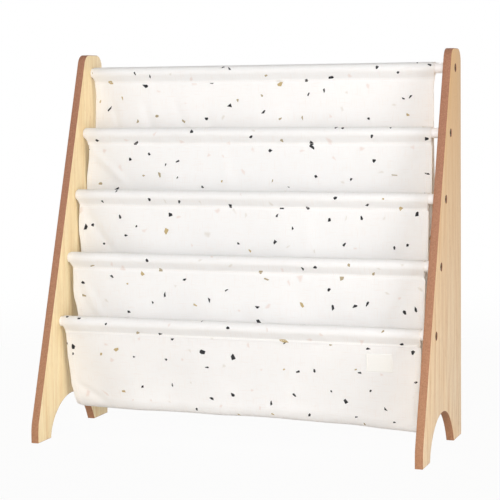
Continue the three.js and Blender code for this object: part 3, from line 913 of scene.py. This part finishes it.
pick = add(tree, "VectorMath", {0: cell.outputs["Color"], "Scale": SCATTER},
           operation="SCALE")
shifted = add(tree, "VectorMath", {0: local, 1: pick}, operation="ADD")
here = add(tree, "TexVoronoi", {"Vector": shifted, "Scale": 1.0}, voronoi_dimensions="2D")
middle = add(tree, "TexVoronoi", {"Vector": pick, "Scale": 1.0}, voronoi_dimensions="2D")
rim = add(tree, "TexVoronoi", {"Vector": shifted, "Scale": 1.0}, voronoi_dimensions="2D",
          feature="DISTANCE_TO_EDGE")
apart = add(tree, "VectorMath", {0: here.outputs["Position"], 1: middle.outputs["Position"]},
            operation="DISTANCE")
same = add(tree, "Math", {0: apart.outputs["Value"], 1: SAME_SPOT}, operation="LESS_THAN")
softness = add(tree, "MapRange", {"Value": pale, "To Min": 0.08, "To Max": 0.36})
inked = add(tree, "MapRange", {"Value": rim, "From Min": 0.03, "From Max": softness})
chip = add(tree, "Math", {0: same, 1: inked}, operation="MULTIPLY")
ink = add(tree, "ValToRGB", {0: kind.outputs["Value"]})
ink.color_ramp.interpolation = "CONSTANT"
while len(ink.color_ramp.elements) < len(CHIPS):
    ink.color_ramp.elements.new(1.0)
for element, (start, ink_hex) in zip(ink.color_ramp.elements, CHIPS):
    element.position = start
    element.color = linear(ink_hex)
print(len(CHIPS), "inks")

# %% [markdown]
# The weave: threads cross 0.6 mm apart in real canvas. They are drawn 0.8 mm apart, so that
# they show. Now and then a thread is thicker, which gives the short raised lines of cotton,
# 1.1 mm wide. The off-white ground varies slowly, over some 70 mm. Cotton is matt, with a
# faint sheen from its fuzz. Some light comes through cloth of this weight, and it comes out a
# little warmer.

# %% Canvas
THREAD_PITCH = 0.8
SLUBS, SLUBS_DRAWN_OUT, BLOTCHES = 900.0, 0.05, 14.0
SHARE_THROUGH = 0.14

in_threads = add(tree, "VectorMath", {0: flat, "Scale": 1000 / THREAD_PITCH},
                 operation="SCALE")
over = add(tree, "TexChecker", {"Vector": in_threads, "Scale": 1.0})
parts = add(tree, "SeparateXYZ", {0: in_threads})
ridges = []
for axis in (0, 1):
    phase = add(tree, "Math", {0: parts.outputs[axis], 1: math.pi}, operation="MULTIPLY")
    wave = add(tree, "Math", {0: phase}, operation="SINE")
    ridges.append(add(tree, "Math", {0: wave}, operation="ABSOLUTE"))
weave = add(tree, "Mix", {0: over.outputs["Fac"], 2: ridges[0], 3: ridges[1]},
            data_type="FLOAT")
slubs = []
for drawn_out in ((SLUBS_DRAWN_OUT, 1, 1), (1, SLUBS_DRAWN_OUT, 1)):
    drawn = add(tree, "Mapping", {"Vector": flat, "Scale": drawn_out})
    slubs.append(add(tree, "TexNoise", {"Vector": drawn, "Scale": SLUBS, "Detail": 2.0}))
slub = add(tree, "Math", {0: slubs[0], 1: slubs[1]}, operation="MAXIMUM")
raised = add(tree, "MapRange", {"Value": slub, "From Min": 0.55, "From Max": 0.8})
blotch = add(tree, "TexNoise", {"Vector": flat, "Scale": BLOTCHES, "Detail": 3.0})
blotch_share = add(tree, "MapRange", {"Value": blotch, "From Min": 0.35, "From Max": 0.65})
ground = add(tree, "Mix", {0: blotch_share, 6: "#fafafa", 7: "#fcfcfc"}, data_type="RGBA")
thready = add(tree, "Mix", {0: raised, 6: ground.outputs[2], 7: "#f7f2ef"},
              data_type="RGBA")
printed = add(tree, "Mix", {0: chip, 6: thready.outputs[2], 7: ink}, data_type="RGBA")
height = add(tree, "Math", {0: weave.outputs[0], 1: 0.45, 2: raised},
             operation="MULTIPLY_ADD")
relief = add(tree, "Bump", {"Height": height, "Strength": 0.35, "Distance": 0.0002})
shade = add(tree, "BsdfPrincipled", {"Base Color": printed.outputs[2], "Roughness": 0.85,
                                     "IOR": 1.46, "Sheen Weight": 0.15,
                                     "Sheen Roughness": 0.5, "Normal": relief})
warmed = add(tree, "Mix", {0: 1.0, 6: printed.outputs[2], 7: "#fff1e4"}, data_type="RGBA",
             blend_type="MULTIPLY")
glow = add(tree, "BsdfTranslucent", {"Color": warmed.outputs[2], "Normal": relief})
through = add(tree, "MixShader", {0: SHARE_THROUGH, 1: shade, 2: glow})
add(tree, "OutputMaterial", {"Surface": through})
print(canvas.name, "of", len(tree.nodes), "nodes")

# %% [markdown]
# A casing is a strip of the same canvas laid over a rod and sewn shut below it, so in section
# it is a drop: round on top, with two straight sides that meet in the seam. It is a little
# wider than the rod, so it isn't perfectly round, and shallow creases run round it at a slant.

# %% Section of a casing
CASING_CLOTH = 1.0
EASE = 0.4  # between rod and cloth
CASING_RADIUS = ROD_RADIUS + EASE + CASING_CLOTH / 2
SEAM_DROP, SEAM_TOP = 18.3, 14.4
LIP = 0.9  # from the middle of the seam to the middle of one lip
CASING_ROUND = 54
ROUND_STEPS = 60


def casing_section():
    """(y, z) along the casing, from the seam in front, over the rod, to the seam behind."""
    reach = math.hypot(LIP, SEAM_TOP)
    touch = math.atan2(-SEAM_TOP, LIP) + math.acos(CASING_RADIUS / reach)
    turn = np.linspace(math.pi - touch, touch, ROUND_STEPS)
    round_part = CASING_RADIUS * np.stack([np.cos(turn), np.sin(turn)], axis=1)
    line = np.vstack([[(-LIP, -SEAM_DROP), (-LIP, -SEAM_TOP)], round_part,
                      [(LIP, -SEAM_TOP), (LIP, -SEAM_DROP)]])
    lengths = lengths_along(line)
    even = np.linspace(0, lengths[-1], CASING_ROUND + 1)
    section = resampled(even, lengths, line)
    for _ in range(2):  # soften the corner where the side meets the lip
        section[1:-1] = (section[:-2] + 2 * section[1:-1] + section[2:]) / 4
    return section, even


section, round_length = casing_section()
CASING_GIRTH = round_length[-1]
print(f"a casing is cut {CASING_GIRTH:.0f} mm wide")

# %% [markdown]
# The casings differ in where they end on their rods and in how far the seam draws these ends
# in. The cloth is tight on top of the rod and looser beside it, and the creases follow that.

# %% Casings
CASING_ACROSS = 220
CASING_LEFT = [-293.5, -294.5, -295.0, -294.0, -291.5]
CASING_RIGHT = [278.5, 281.0, 283.0, 285.0, 286.5]
LEFT_TUCK = [1.0, 3.0, 2.5, 4.0, 2.0]  # how far the seam's end is drawn in
RIGHT_TUCK, TUCK_REACH = 1.5, 15
TIGHT, LOOSE = 0.12, 0.55  # height of the creases on the rod, and what is added beside it
DEEPEST = 0.25  # so that no crease reaches down to the rod
CREASE_SLANT = 0.8
STITCH_ROW = 2  # in rows of the grid from the seam's edge


def casing_grid(number):
    """Middle points of a casing in mm, and their places on the flat cut."""
    y, z = RODS[number - 1]
    left_end, right_end = CASING_LEFT[number - 1], CASING_RIGHT[number - 1]
    share = np.linspace(0, 1, CASING_ACROSS + 1)
    x = left_end + (right_end - left_end) * share
    from_top = np.abs(round_length - CASING_GIRTH / 2) / (CASING_GIRTH / 2)
    near_seam = smooth_step(from_top, 0.5, 1)[:, None]
    points = np.zeros((CASING_ROUND + 1, CASING_ACROSS + 1, 3))
    points[..., 0] = x + near_seam * (
        LEFT_TUCK[number - 1] * np.exp((left_end - x) / TUCK_REACH)
        - RIGHT_TUCK * np.exp((x - right_end) / TUCK_REACH))
    points[..., 1] = (y + section[:, 0])[:, None]
    points[..., 2] = (z + section[:, 1])[:, None]

    length_grid, x_grid = np.meshgrid(round_length, x - left_end, indexing="ij")
    slant = x_grid + CREASE_SLANT * length_grid
    heights = (0.6 * soft_noise(slant, length_grid, 34, 40 + number)
               + 0.4 * soft_noise(slant, length_grid, 13, 50 + number))
    loose = TIGHT + (LOOSE * smooth_step(from_top, 0.35, 0.7)
                     * smooth_step(1 - from_top, 0, 0.25))
    rise = np.maximum(loose[:, None] * heights, -DEEPEST)
    points -= rise[..., None] * grid_normals(points)
    return points, np.stack([x_grid + CUT_SPACING * number, length_grid], axis=-1)


for number in range(1, len(RODS) + 1):
    points, flat_cut = casing_grid(number)
    casing = cloth_piece(f"sewn_casing_{number}", points[:, ::-1], flat_cut[:, ::-1],
                         CASING_CLOTH, canvas, [f"rod_casing_{number}"])
    for word, row, face in (("front", STITCH_ROW, -1), ("back", CASING_ROUND - STITCH_ROW, 1)):
        path = points[row].copy()
        path[:, 1] += face * CASING_CLOTH / 2
        normals = np.tile([0.0, face, 0.0], (len(path), 1))
        stitch_row(f"casing_stitches_{word}_{number}", path, normals)

# %% [markdown]
# A sling is one length of canvas. It hangs from the seam of one casing, turns up at the bottom
# and ends at the seam of the next casing in front. Its section is a long U. The back sheet
# drifts back a little on its way down and the front sheet leans back more, because the cloth's
# own weight pulls both towards the middle of the pocket. Across the width the cloth hangs in
# soft upright folds, which grow with the distance from the seam.
#
# A cloth simulation would give folds of its own, and they wouldn't be where these are, so the
# form is written out: a section, folds across it, and single creases where they are seen.

# %% Section of a sling
SEAM_GAP = 0.3  # between the lips of the seam and the sling's own edge
POCKET_DEPTH, POCKET_BEND = 138, 19
BACK_LEAN, FRONT_LEAN = 8, 16
BACK_CURVE, FRONT_CURVE = 1.6, 1.35
FOLD_GROWTH = 85  # mm below the seam at which the folds are full
BACK_ROWS, BEND_ROWS, FRONT_ROWS = 66, 26, 36


def sling_line():
    """Rows of a sling: y, z from the front rod's axis, share of the sag, drop below a seam."""
    start, end = ROD_STEP_Z - SEAM_DROP - SEAM_GAP, -SEAM_DROP - SEAM_GAP
    bend = POCKET_BEND - POCKET_DEPTH
    back_y, front_y = ROD_STEP_Y - LIP + BACK_LEAN, LIP + FRONT_LEAN
    rows = []
    for share in np.linspace(0, 1, BACK_ROWS, endpoint=False):
        z = start + (bend - start) * share
        rows.append((back_y - BACK_LEAN * (1 - share) ** BACK_CURVE, z, share, start - z))
    for turn in np.linspace(0, math.pi, BEND_ROWS + 1):
        y = (back_y + front_y) / 2 + (back_y - front_y) / 2 * math.cos(turn)
        rows.append((y, bend - POCKET_BEND * math.sin(turn), 1.0, FOLD_GROWTH))
    for share in np.linspace(1, 0, FRONT_ROWS + 1)[1:]:
        z = end + (bend - end) * share
        rows.append((front_y - FRONT_LEAN * (1 - share) ** FRONT_CURVE, z, share, end - z))
    return np.array(rows)


line = sling_line()
sling_length = lengths_along(line[:, :2])

# %% [markdown]
# What differs from sling to sling: how far the free edges draw in, how the bottom sags, and
# the single creases. Distances down the cloth run from the seam behind, round the bottom, to
# the seam in front. A crease is a soft ridge or valley between two places on the cloth.

# %% Edges and creases of the slings
LEFT_EDGES = {  # distance down the cloth, then x of the left edge
    1: ((0, -292), (8, -290.8), (17, -290.8), (30, -291.6), (45, -292.4), (65, -293.6),
        (100, -294), (200, -288), (350, -289)),
    2: ((0, -289.5), (12, -289.3), (24, -290.3), (37, -292.5), (50, -294.8), (64, -296),
        (98, -295.5), (200, -290), (350, -291)),
    3: ((0, -292.5), (12, -293.5), (23, -294.8), (40, -295.7), (56, -293.9), (98, -292),
        (200, -287), (350, -290)),
    4: ((0, -290), (21, -290.2), (34, -290.8), (47, -289.5), (60, -286), (75, -284),
        (98, -283), (200, -281), (225, -281), (238, -282.5), (250, -285), (262, -287.5),
        (310, -290.5), (340, -289.5), (350, -289)),
}
RIGHT_EDGES = {
    1: ((0, 276.5), (10, 275), (100, 274.5), (200, 275), (350, 278)),
    2: ((0, 281), (60, 279), (200, 277), (350, 280)),
    3: ((0, 283), (60, 281), (200, 279), (350, 282)),
    4: ((0, 285), (60, 283), (200, 280), (255, 281), (350, 286)),
}
BOTTOM_DROPS = {  # share of the width, then mm below the pocket's usual depth
    4: ((0, -2), (0.02, 0.8), (0.09, 1.8), (0.18, 2.7), (0.38, 2.6), (0.45, 3.0),
        (0.49, 2.4), (0.6, 2.4), (0.67, 4.3), (0.74, 6.0), (0.81, 6.1), (0.85, 7.2),
        (0.89, 9.0), (1, 12)),
}
EVEN_SAG = ((0, 0), (0.12, 1.6), (0.3, 3.4), (0.5, 4), (0.7, 3.4), (0.88, 1.6), (1, 0))
CREASES = {  # from (x, down), to (x, down), half width, height; heights below 0 are valleys
    1: ((-262, 34, -244, 100, 8, -0.9), (-204, 40, -188, 105, 11, -1.7),
        (-152, 30, -128, 100, 12, -1.5), (-96, 44, -84, 100, 12, -0.8),
        (40, 30, 52, 100, 14, -0.6), (190, 25, 172, 98, 14, 0.7)),
    2: ((-280, 12, -230, 60, 9, 1.2), (262, 15, 215, 70, 11, -1.0),
        (-60, 20, -44, 80, 14, 0.9)),
    3: ((-278, 14, -240, 70, 10, -1.1), (250, 20, 226, 78, 11, 1.1),
        (90, 18, 98, 80, 14, 0.8)),
    4: ((-276, 20, -240, 80, 10, 1.1), (258, 16, 225, 76, 11, -1.0),
        (-276, 266, -230, 240, 8, -1.2), (262, 262, 226, 242, 9, 0.8),
        (150, 250, 60, 244, 10, 0.6)),
}
print([len(CREASES[number]) for number in CREASES], "creases")

# %% [markdown]
# The surface of a sling is its section, moved forwards and back by everything that bends the
# cloth: long upright folds, soft dents of two sizes, small puckers where the seam gathers it,
# and the single creases.

# %% Surface of a sling
ACROSS = 230
FOLD_DEPTH = 2.4
FOLD_WAVES = ((0.6, 2.3, 0.31), (0.4, 4.7, 0.17))  # share of the depth, waves, shift
DENTS = ((0.9, 70, 0), (0.35, 24, 10))  # height, size, seed
NOISE_SHIFT = 400
PUCKER_HEIGHT, PUCKER_SIZE, PUCKER_SEED = 0.5, 6.5, 20
PUCKER_START, PUCKER_REACH, PUCKER_END = 1.5, 7, 60  # mm below the seam
PUCKER_DRAWN_OUT = 0.3


def crease_height(x, down, x1, down1, x2, down2, width, height):
    """A soft ridge from (x1, down1) to (x2, down2), with a shallow ditch on each side."""
    run = np.array([x2 - x1, down2 - down1], float)
    length = np.linalg.norm(run)
    run /= length
    share = ((x - x1) * run[0] + (down - down1) * run[1]) / length
    beside = ((down - down1) * run[0] - (x - x1) * run[1]) / width
    taper = smooth_step(share, -0.35, 0.3) * smooth_step(1 - share, -0.35, 0.3)
    return height * taper * ((1 - beside ** 2) * np.exp(-(beside ** 2)))


def sling_grid(number):
    """Middle points of a sling in mm, and their places on the flat cut."""
    y0, z0 = RODS[number]
    share = np.linspace(0, 1, ACROSS + 1)
    down = sling_length[:, None] + 0 * share
    left = np.interp(sling_length, *zip(*LEFT_EDGES[number]))
    right = np.interp(sling_length, *zip(*RIGHT_EDGES[number]))
    sag = np.interp(share, *zip(*BOTTOM_DROPS.get(number, EVEN_SAG)))
    grown = smooth_step(line[:, 3], 0, FOLD_GROWTH)[:, None]
    folds = sum(depth * np.sin(2 * math.pi * (count * share + shift * (number + 1)))
                for depth, count, shift in FOLD_WAVES)
    cut_x = left.max() + (right.min() - left.max()) * share
    x = left[:, None] + (right - left)[:, None] * share
    u = np.broadcast_to(cut_x, x.shape)
    stand = FOLD_DEPTH * grown * folds
    stand = stand + grown * sum(
        height * soft_noise(u + NOISE_SHIFT, down, size, seed + number)
        for height, size, seed in DENTS)
    seam = np.minimum(line[:, 3], PUCKER_END)[:, None]
    pucker = np.exp(-seam / PUCKER_REACH) * (1 - np.exp(-seam / PUCKER_START))
    stand = stand + PUCKER_HEIGHT * pucker * soft_noise(
        u + NOISE_SHIFT, down * PUCKER_DRAWN_OUT, PUCKER_SIZE, PUCKER_SEED + number)
    for crease in CREASES[number]:
        stand = stand - crease_height(x, down, *crease)
    points = np.zeros(x.shape + (3,))
    points[..., 0] = x
    points[..., 1] = y0 + line[:, :1] + stand
    points[..., 2] = z0 + line[:, 1:2] - sag * line[:, 2:3]
    return points, np.stack([u + CUT_SPACING * number, down], axis=-1)


# %% [markdown]
# At the sides of a sling the cloth is folded over into a hem, so it is thicker there, and a row
# of stitches holds the hem on each face. The seams at both ends lie in the casings, so nothing
# is sewn there again.

# %% Slings
HEM, HEM_FOLD = 10, 0.7  # its width, and how much thicker the fold makes it
HEM_SOFTNESS = (1.5, 0.5)  # mm inside and outside the fold's edge over which it thins out
HEM_COLUMN, HEM_ENDS = 3, 2  # columns and rows from the edges of the grid

for number in range(1, len(RODS)):
    points, flat_cut = sling_grid(number)
    x = points[..., 0]
    from_edge = np.minimum(x - x[:, :1], x[:, -1:] - x)
    thickness = CLOTH + HEM_FOLD * (1 - smooth_step(
        from_edge, HEM - HEM_SOFTNESS[0], HEM + HEM_SOFTNESS[1]))
    sling = cloth_piece(f"canvas_sling_{number}", points, flat_cut, thickness, canvas,
                        [f"sling_{number}"])
    normals = grid_normals(points)
    held = slice(HEM_ENDS, -HEM_ENDS)
    for word, column in (("left", HEM_COLUMN), ("right", ACROSS - HEM_COLUMN)):
        for face, side in (("outside", 1), ("inside", -1)):
            normal = side * normals[held, column]
            path = points[held, column] + normal * (thickness[held, column, None] / 2)
            stitch_row(f"hem_stitches_{word}_{face}_{number}", path, normal)
lowest_sling = points

# %% [markdown]
# A small blank label is sewn to the front of the lowest pocket. It is woven satin tape, so it
# is smoother and a little warmer than the canvas. Fine ribs 0.7 mm apart run along it, and its
# yarns show as streaks of the same width.

# %% Label tape
RIB_PITCH = 0.7
YARNS, YARN_DRAWN_OUT = 1400.0, 0.04

tape, tree = new_finish("woven_satin_tape")
flat = add(tree, "UVMap", uv_map="flat_cut")
parts = add(tree, "SeparateXYZ", {0: flat})
phase = add(tree, "Math", {0: parts.outputs[1], 1: 2 * math.pi / (RIB_PITCH * MM)},
            operation="MULTIPLY")
rib = add(tree, "Math", {0: phase}, operation="SINE")
drawn = add(tree, "Mapping", {"Vector": flat, "Scale": (YARN_DRAWN_OUT, 1, 1)})
yarn = add(tree, "TexNoise", {"Vector": drawn, "Scale": YARNS, "Detail": 2.0})
colour = add(tree, "Mix", {0: yarn, 6: "#f4f3f0", 7: "#f0efeb"}, data_type="RGBA")
height = add(tree, "Math", {0: rib, 1: 0.5, 2: yarn}, operation="MULTIPLY_ADD")
relief = add(tree, "Bump", {"Height": height, "Strength": 0.3, "Distance": 0.0001})
shade = add(tree, "BsdfPrincipled", {"Base Color": colour.outputs[2], "Roughness": 0.5,
                                     "IOR": 1.5, "Sheen Weight": 0.25, "Normal": relief})
add(tree, "OutputMaterial", {"Surface": shade})
print(tape.name)

# %% [markdown]
# The label lies on the sling's front sheet and follows its folds, so its points are found on
# that sheet and lifted off it along their normals. Its two short ends are stitched down and its
# middle bows out a little, as tape does between two seams.

# %% Label
LABEL_WIDTH, LABEL_HEIGHT, LABEL_CLOTH = 40, 27, 0.6
LABEL_LEFT, LABEL_BELOW_ROD = 202, 31
LABEL_COLUMNS, LABEL_ROWS = 40, 27
LABEL_CLEARANCE, LABEL_BOW = 0.15, 0.35  # off the canvas at its ends, and more in its middle
LABEL_STITCH_COLUMN = 2

front_sheet = lowest_sling[BACK_ROWS + BEND_ROWS:]
lowest_rod = RODS[-1][1]
label_z = np.linspace(-LABEL_BELOW_ROD, -LABEL_BELOW_ROD - LABEL_HEIGHT, LABEL_ROWS + 1)
label_x = np.linspace(LABEL_LEFT, LABEL_LEFT + LABEL_WIDTH, LABEL_COLUMNS + 1)
label_points = np.zeros((LABEL_ROWS + 1, LABEL_COLUMNS + 1, 3))
for j, x in enumerate(label_x):
    column = np.interp(x, front_sheet[0, :, 0], np.arange(ACROSS + 1))
    low = int(column)
    part = column - low
    strip = (1 - part) * front_sheet[:, low] + part * front_sheet[:, low + 1]
    label_points[:, j] = resampled(label_z, strip[:, 2] - lowest_rod, strip)
label_points[..., 0] = label_x
label_normals = grid_normals(label_points)
stand_off = CLOTH / 2 + LABEL_CLOTH / 2 + LABEL_CLEARANCE
bow = LABEL_BOW * np.sin(np.linspace(0, math.pi, LABEL_COLUMNS + 1))
label_points = label_points + (stand_off + bow)[:, None] * label_normals
label_flat = np.stack(np.meshgrid(np.linspace(0, LABEL_WIDTH, LABEL_COLUMNS + 1),
                                  np.linspace(0, LABEL_HEIGHT, LABEL_ROWS + 1)), axis=-1)
label = cloth_piece("woven_label_blank", label_points, label_flat, LABEL_CLOTH, tape,
                    ["blank_label"])
for word, column in (("left", LABEL_STITCH_COLUMN),
                     ("right", LABEL_COLUMNS - LABEL_STITCH_COLUMN)):
    normal = label_normals[1:-1, column]
    path = label_points[1:-1, column] + normal * LABEL_CLOTH / 2
    stitch_row(f"label_stitches_{word}", path, normal)
print("label", LABEL_WIDTH, "x", LABEL_HEIGHT, "mm")
